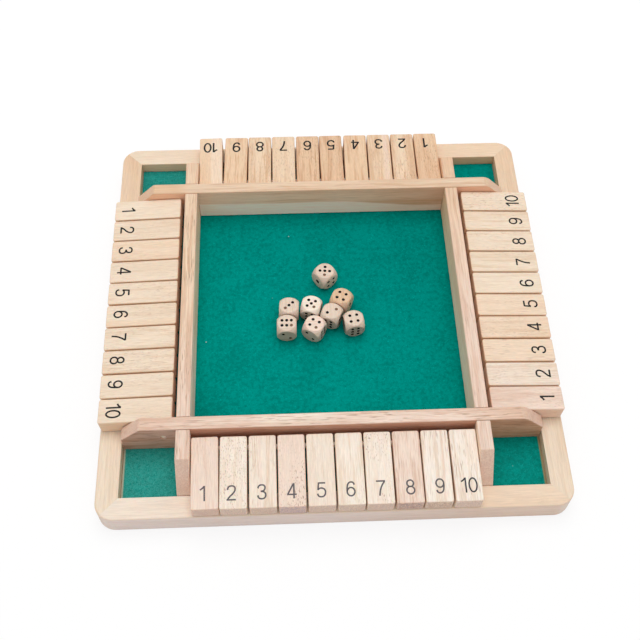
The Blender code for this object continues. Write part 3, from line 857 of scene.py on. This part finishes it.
for row_number, (row, turn) in enumerate(ROWS):
    grain, across = ("Y", "X") if row in ALONG_X else ("X", "Y")
    for i in range(10):
        node = f"{row}_tile_{i + 1}"
        low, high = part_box(node)
        mesh = numbered_tile(i + 1, row)
        to_row = Matrix.Rotation(math.radians(turn), 4, "Z")
        along = (to_row.transposed() @ ((low + high) / 2)).x
        askew = math.radians(ASKEW[row][i])
        inward = half.x * abs(math.sin(askew)) + SKEW_GAP
        mesh.transform(to_row @ Matrix.Translation((along, inward - PIVOT_OUT, PIVOT_Z))
                       @ Matrix.Rotation(TILE_SLOPE, 4, "X") @ Matrix.Rotation(askew, 4, "Z")
                       @ Matrix.Translation(-pivot))
        tone, streaks, pores, broad = TILE_WOOD[row][i]
        stripe = STRIPES.get(node)
        if stripe:
            middle = (low + high) / 2 + to_row.to_3x3() @ Vector((stripe[0] * MM, 0, 0))
            stripe = (across, middle[AXES[across]], stripe[1] * MM, stripe[2])
        seed = TILE_SEED + 17 * row_number + 3.7 * i
        finish = wood_finish(f"{node}_wood", tone, grain, seed, streaks, pores, broad, stripe=stripe,
                             end_grain=TILE_END.get(node, END_GRAIN),
                             dashes=DASHES.get(node, USUAL_DASHES))
        ink = dark_ink if row != "front" else half_faded_ink if i == 9 else faded_ink
        finished(f"numbered_{node}", mesh, [finish, ink], node, [node])
    print(row, "tiles: 10")

# %% [markdown]
# ## Felt
# The felt lies on the base board, under the walls, and shows in the tray and the four corner
# pockets. Cloth simulation would move it by less than its thickness, so it is a fine grid with very
# small swells, given its thickness with solidify. What makes it look like felt is its finish:
# cloudy patches, short fibres and a few specks of lint. Its colour also holds painted light, brighter
# towards the front left, and the pockets on the left are dustier and carry painted sheen. In the
# front pockets a cut edge is pale on the left and brown on the right.

# %% Felt sheet
FELT_CELLS, SWELL = 120, 0.05 * MM
# Swells in radians a metre: from left to right, from front to back, and how they drift sideways.
WAVE_ACROSS, WAVE_DEEP, WAVE_DRIFT = 190, 170, 90
felt_low, felt_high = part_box("felt")
felt_half = felt_high.x
thickness = felt_high.z - felt_low.z
bm = bmesh.new()
bmesh.ops.create_grid(bm, x_segments=FELT_CELLS, y_segments=FELT_CELLS, size=felt_half)
for v in bm.verts:
    drift = 2 * math.sin(v.co.y * WAVE_DRIFT)
    v.co.z = SWELL * math.sin(v.co.x * WAVE_ACROSS + drift) * math.sin(v.co.y * WAVE_DEEP + 1.3)
bmesh.ops.translate(bm, vec=(0, 0, felt_high.z), verts=bm.verts)
bmesh.ops.recalc_face_normals(bm, faces=bm.faces)
bmesh.ops.solidify(bm, geom=bm.faces[:], thickness=thickness)
felt_mesh = as_mesh(bm, "felt")
print("felt z in mm:", [round(f(v.co.z for v in felt_mesh.vertices) / MM, 2) for f in (min, max)])

# %% Felt finish
FELT_DEEP, FELT_DARK = (0.0, 0.150, 0.122), (0.0, 0.193, 0.159)
FELT_MID, FELT_LIGHT = (0.0, 0.266, 0.224), (0.002, 0.385, 0.335)
LINT, DUST_AND_SHEEN = (0.45, 0.62, 0.58), (0.20, 0.55, 0.50)
POCKET_START, CUT_EDGE = 97 * MM, 133.7 * MM
# How often each pattern repeats in a metre.
CLOUDS, CLUMPS, FIBRES, LINT_CELLS = 45, 330, 1050, 85
felt_finish, tree, shader = new_finish("green_felt")
spot = object_place(tree)
cloud = noise(tree, spot, 3.0, 0.6, scale=CLOUDS)
clump = noise(tree, spot, 3.0, 0.65, scale=CLUMPS)
fuzz = noise(tree, spot, 2.0, 0.6, distortion=1.5, scale=FIBRES)
mottle = maths(tree, "ADD", times(tree, cloud, 0.35), times(tree, clump, 0.65))
colour = blended(tree, stepped(tree, mottle, 0.36, 0.60), FELT_DARK, FELT_MID)
colour = blended(tree, stepped(tree, fuzz, 0.24, 0.44, 0.75, 0.0), colour, FELT_DEEP)
colour = blended(tree, stepped(tree, fuzz, 0.57, 0.74), colour, FELT_LIGHT)
dots = tree.nodes.new("ShaderNodeTexVoronoi")
dots.inputs["Scale"].default_value = LINT_CELLS
tree.links.new(spot, dots.inputs["Vector"])
chosen = tree.nodes.new("ShaderNodeSeparateColor")
tree.links.new(dots.outputs["Color"], chosen.inputs[0])
near = stepped(tree, dots.outputs["Distance"], 0.02, 0.06, 1.0, 0.0)
lint = times(tree, near, stepped(tree, chosen.outputs[0], 0.72, 0.95))
colour = blended(tree, lint, colour, LINT)
across, depth = by_axis(tree, spot)[:2]
# Painted light: the felt is drawn brighter towards the front left and darker towards the back right.
painted_light_slant = maths(tree, "ADD", times(tree, across, -0.6), times(tree, depth, -0.8))
colour = brightened(tree, colour, stepped(tree, painted_light_slant, -0.09, 0.09, 0.94, 1.12))


def in_pocket(side, end, start=POCKET_START):
    """1 in the corner pocket on one side (-1 left, 1 right) and at one end (-1 front, 1 back)."""
    return times(tree, stepped(tree, times(tree, across, side), start, start + MM),
                 stepped(tree, times(tree, depth, end), POCKET_START, POCKET_START + MM))


# The pockets on the left are paler: dustier, and with painted sheen.
dust_and_sheen_spread = stepped(tree, fuzz, 0.36, 0.62, 0.35, 1.60)
for side, end, amount in ((-1, -1, 0.16), (-1, 1, 0.10), (1, -1, 0.015)):
    share = times(tree, times(tree, in_pocket(side, end), amount), dust_and_sheen_spread)
    colour = blended(tree, share, colour, DUST_AND_SHEEN)
for side, cut_edge in ((-1, (0.60, 0.57, 0.42)), (1, (0.42, 0.30, 0.13))):
    colour = blended(tree, times(tree, in_pocket(side, -1, CUT_EDGE), 0.85), colour, cut_edge)
tree.links.new(colour, shader.inputs["Base Color"])
shader.inputs["Roughness"].default_value = 0.95
shader.inputs["Specular IOR Level"].default_value = 0.0
embossed(tree, shader, maths(tree, "ADD", fuzz, clump), 0.5, 0.3 * MM)

felt = finished("green_felt", felt_mesh, [felt_finish], "board", ["felt"])
print("felt side in mm:", round(2 * felt_half / MM, 1))

# %% [markdown]
# ## Base board
# The base board only shows from below: thin plywood let into the rebate. Its CAD solid already has
# the right shape, so it stays and gets a wood finish of its own.

# %% Base board finish
plywood = wood_finish("base_plywood", HONEY, "X", 7, 0.6, 0.5, broad=0.8, rough=0.65)
for held in nodes["base_board"].material_slots:
    held.material = plywood
print("base board slots:", len(nodes["base_board"].material_slots))

# %% [markdown]
# ## Dice
# A wooden die is a cube turned in a drum until a ball's surface rounds its corners, which leaves six
# flat discs. So the body is an icosphere with its six caps cut off by bisect_plane, and each cut is
# filled and its rim eased. The pips are drilled and painted black; a few missed the paint. Each pip is
# a short cutter with a round bottom, and the faces it leaves take the paint.

# %% Die body
die_low, die_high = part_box("die_1")
DIE_HALF = (die_high.z - die_low.z) / 2
BALL_RADIUS, RIM_EASE, MERGE_REACH = DIE_HALF * 1.356, 0.18 * MM, 0.02 * MM
SIDES = {"top": Matrix.Identity(3), "bottom": Matrix.Rotation(math.pi, 3, "X")}
for word, angle in (("front", 0), ("right", 90), ("back", 180), ("left", 270)):
    SIDES[word] = Matrix.Rotation(math.radians(angle), 3, "Z") @ Matrix.Rotation(math.pi / 2, 3, "X")

bm = bmesh.new()
bmesh.ops.create_icosphere(bm, subdivisions=5, radius=BALL_RADIUS)
for turn_to in SIDES.values():
    out = turn_to @ Vector((0, 0, 1))
    cut_off(bm, out * DIE_HALF, out, dist=1e-6)
bmesh.ops.remove_doubles(bm, verts=bm.verts, dist=MERGE_REACH)
bmesh.ops.recalc_face_normals(bm, faces=bm.faces)
rims = sharp(bm, 25)
ease(bm, rims, RIM_EASE, 2)
die_blank = as_mesh(bm, "die")
print("die faces:", len(die_blank.polygons), "rim edges:", len(rims))

# %% Pip places
PIP_RADIUS, ONE_PIP_RADIUS, PIP_DEPTH = 1.10 * MM, 1.6 * MM, 0.60 * MM
PIP_STEP, SIX_LONG, SIX_SHORT = 2.4 * MM, 3.2 * MM, 2.0 * MM
BELOW_FACE = 0.004 * MM
rising = [(-PIP_STEP, -PIP_STEP), (PIP_STEP, PIP_STEP)]
falling = [(-PIP_STEP, PIP_STEP), (PIP_STEP, -PIP_STEP)]
columns = [(x, y) for x in (-SIX_SHORT, SIX_SHORT) for y in (-SIX_LONG, 0, SIX_LONG)]
PIPS = {1: [(0, 0)], 2: rising, 3: rising + [(0, 0)], 4: rising + falling,
        5: rising + falling + [(0, 0)], 6: columns}


def numbers_round(top, front):
    """The number on each side: opposite sides add up to 7, and 1, 2, 3 run clockwise."""
    for right in range(1, 7):
        if right in (top, front, 7 - top, 7 - front):
            continue
        ways = {top: Vector((0, 0, 1)), front: Vector((0, -1, 0)), right: Vector((1, 0, 0))}
        ways.update({7 - n: -way for n, way in ways.items()})
        if ways[1].cross(ways[2]).dot(ways[3]) < 0:
            break
    return {"top": top, "bottom": 7 - top, "front": front, "back": 7 - front, "right": right,
            "left": 7 - right}


def drilled(top, front, other_way, bare):
    """The die with its pips: paint is material 1, and the bare pips of the top are material 2."""
    tools, spots = bmesh.new(), []
    for word, number in numbers_round(top, front).items():
        radius = ONE_PIP_RADIUS if number == 1 else PIP_RADIUS
        places = [(-y, x) if number in other_way else (x, y) for x, y in PIPS[number]]
        for i, (x, y) in enumerate(places):
            ball = bmesh.ops.create_uvsphere(tools, u_segments=16, v_segments=8, radius=radius)["verts"]
            bmesh.ops.scale(tools, vec=(1, 1, PIP_DEPTH / radius), verts=ball)
            bmesh.ops.translate(tools, vec=(x, y, DIE_HALF), verts=ball)
            bmesh.ops.rotate(tools, matrix=SIDES[word], verts=ball)
            spots.append((SIDES[word] @ Vector((x, y, DIE_HALF)), radius,
                          2 if word == "top" and i in bare else 1))
    mesh = carved(die_blank.copy(), [as_mesh(tools, "pips")])
    for face in mesh.polygons:
        for spot, radius, finish in spots:
            inward = max(abs(v) for v in face.center) < DIE_HALF - BELOW_FACE
            if (face.center - spot).length < radius * 0.999 and inward:
                face.material_index = finish
    return mesh


print("pips on a die:", sum(len(p) for p in PIPS.values()))

# %% Pip finishes
def pip_finish(name, colour):
    """Paint pooled in a drilled pip: nearly even."""
    paler = tuple(c * 1.9 + 0.01 for c in colour)
    return matt_finish(name, colour, paler, 1.0, 2.0, 2200, 0.50, 0.15)


painted_pip = pip_finish("painted_pip", (0.003, 0.003, 0.003))
bare_pip = pip_finish("bare_pip", (0.200, 0.115, 0.070))
print("pip finishes: 2")

# %% Dice
# Name, number on top and in front, turn in degrees, numbers laid the other way, bare pips of the top,
# tone, direction of the grain, and how pale the sides are beside the top: painted shade below 1 and
# painted light above it.
DICE = (("die_1", 5, 1, -51, (), (3,), BISCUIT, "X", 1.05), ("die_2", 4, 5, -27, (), (), AMBER, "Y", 1.0),
        ("die_3", 3, 5, -4, (), (0,), BISCUIT, "Y", 0.95), ("die_4", 5, 6, -15, (), (3,), IVORY, "X", 0.62),
        ("die_5", 2, 6, -24, (), (1,), BISCUIT, "Y", 0.58),
        ("die_6", 6, 2, -1, (6, 2), (0,), BISCUIT, "X", 0.72),
        ("die_7", 4, 2, -30, (2,), (3,), BLUSH, "X", 0.68), ("die_8", 4, 6, 8, (), (), BISCUIT, "Y", 0.40))
DIE_SEED = 300
for i, (name, top, front, turn, other_way, bare, tone, grain, side) in enumerate(DICE):
    low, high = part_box(name)
    mesh = drilled(top, front, other_way, bare)
    mesh.shade_smooth()
    mesh.set_sharp_from_angle(angle=math.radians(24))
    mesh.transform(Matrix.Translation((low + high) / 2) @ Matrix.Rotation(math.radians(turn), 4, "Z"))
    # The sides of each die are drawn in painted shade, as pale as its last number says.
    finish = wood_finish(f"{name}_wood", tone, grain, DIE_SEED + 11 * i, 0.25, 0.25, 0.2, rough=0.45,
                         painted_upright_shading=(side, side * 0.98, side * 0.98), side_reach=0.45)
    finished(f"drilled_{name}", mesh, [finish, painted_pip, bare_pip], name, [name])
print("dice:", len(DICE), "faces of the last:", len(mesh.polygons))

# %% [markdown]
# ## Floor and light
# The board stands on a plain white floor under soft studio light: one broad lamp above and a little
# behind, and an even white world. The floor shows the camera nearly pure white, through Is Camera
# Ray, and keeps a faint shadow of the board.

# %% Floor
FLOOR_HALF = 4.0
bm = bmesh.new()
bmesh.ops.create_grid(bm, x_segments=1, y_segments=1, size=FLOOR_HALF)
floor_mesh = bpy.data.meshes.new("floor")
bm.to_mesh(floor_mesh)
bm.free()
floor = in_scene("floor", floor_mesh)
floor_finish = bpy.data.materials.new("floor")
floor_finish.use_nodes = True
tree = floor_finish.node_tree
tree.nodes.clear()


def one_colour(tree, kind, colour):
    """A shader of one colour."""
    node = tree.nodes.new(kind)
    plug(tree, node.inputs["Color"], colour)
    return node.outputs[0]


plain = one_colour(tree, "ShaderNodeBsdfDiffuse", (0.80, 0.80, 0.80))
both = tree.nodes.new("ShaderNodeAddShader")
tree.links.new(one_colour(tree, "ShaderNodeBsdfDiffuse", (0.20, 0.20, 0.19)), both.inputs[0])
tree.links.new(one_colour(tree, "ShaderNodeEmission", (0.80, 0.80, 0.81)), both.inputs[1])


def seen_directly(tree):
    """1 for a ray from the camera, a reflection or through glass."""
    path = tree.nodes.new("ShaderNodeLightPath")
    seen = maths(tree, "MAXIMUM", path.outputs["Is Camera Ray"], path.outputs["Is Glossy Ray"])
    return maths(tree, "MAXIMUM", seen, path.outputs["Is Transmission Ray"])


chosen = tree.nodes.new("ShaderNodeMixShader")
tree.links.new(seen_directly(tree), chosen.inputs[0])
tree.links.new(plain, chosen.inputs[1])
tree.links.new(both.outputs[0], chosen.inputs[2])
tree.links.new(chosen.outputs[0], tree.nodes.new("ShaderNodeOutputMaterial").inputs[0])
floor_mesh.materials.append(floor_finish)
print("floor side in m:", 2 * FLOOR_HALF)

# %% Light
# Brightness of the world, and the lamp's size in metres, watts and place.
SKY, LAMP_SIZE, LAMP_WATTS, LAMP_PLACE = 0.71, 1.3, 10.8, (0.0, 0.42, 1.6)
world = bpy.data.worlds.new("studio")
world.use_nodes = True
bpy.context.scene.world = world
tree = world.node_tree
tree.nodes.clear()
sky = tree.nodes.new("ShaderNodeBackground")
sky.inputs["Color"].default_value = (1, 1, 1, 1)
tree.links.new(stepped(tree, seen_directly(tree), 0, 1, SKY, 1.0), sky.inputs["Strength"])
tree.links.new(sky.outputs[0], tree.nodes.new("ShaderNodeOutputWorld").inputs[0])

lamp = bpy.data.lights.new("overhead", "AREA")
lamp.shape, lamp.size, lamp.energy = "DISK", LAMP_SIZE, LAMP_WATTS
overhead = in_scene("overhead", lamp)
overhead.location = LAMP_PLACE
overhead.rotation_euler = (-overhead.location).to_track_quat("-Z", "Y").to_euler()
print("lamp watts:", lamp.energy)
